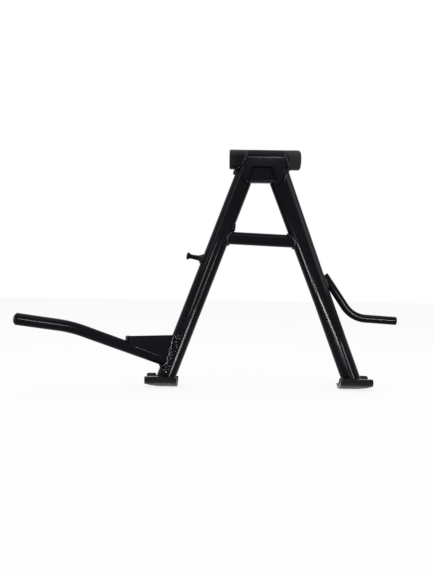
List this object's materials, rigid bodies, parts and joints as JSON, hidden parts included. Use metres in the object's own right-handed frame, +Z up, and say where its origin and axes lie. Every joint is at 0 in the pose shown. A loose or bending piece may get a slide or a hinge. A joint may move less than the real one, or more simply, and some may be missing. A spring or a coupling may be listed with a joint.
{
  "type": "motorcycle centre stand",
  "caption": "Welded tubular centre stand with a pivot tube, splayed legs, cross brace, foot lever, stop rod, spring hook and rolled feet, in worn gloss black.",
  "frame": {"origin": "middle of the pivot bore, on the axis that the stand swings about", "axes": "+X along the pivot bore to the stop rod's side, +Y forward on the machine and away from the lever's tip, +Z up with the stand down and its soles level"},
  "size_m": [0.487, 0.1294, 0.3182],
  "materials": {
    "black_enamel": "gloss",
    "weld_enamel": "gloss",
    "foot_enamel": "satin"
  },
  "bodies": {
    "root": {"pivot_tube": "black_enamel", "left_leg": "black_enamel", "right_leg": "black_enamel", "cross_brace": "black_enamel", "head_plate": "black_enamel", "lever_bar": "black_enamel", "lever_gusset": "black_enamel", "stop_rod": "black_enamel", "spring_hook": "black_enamel", "left_foot": "foot_enamel", "right_foot": "foot_enamel", "left_leg_head_weld": "weld_enamel", "right_leg_head_weld": "weld_enamel", "head_plate_left_weld": "weld_enamel", "head_plate_right_weld": "weld_enamel", "brace_left_weld": "weld_enamel", "brace_right_weld": "weld_enamel", "lever_weld_bead": "weld_enamel", "gusset_leg_weld": "weld_enamel", "gusset_bar_weld": "weld_enamel", "stop_rod_weld": "weld_enamel", "spring_hook_weld": "weld_enamel", "left_foot_weld": "weld_enamel", "right_foot_weld": "weld_enamel"}
  },
  "joints": []
}
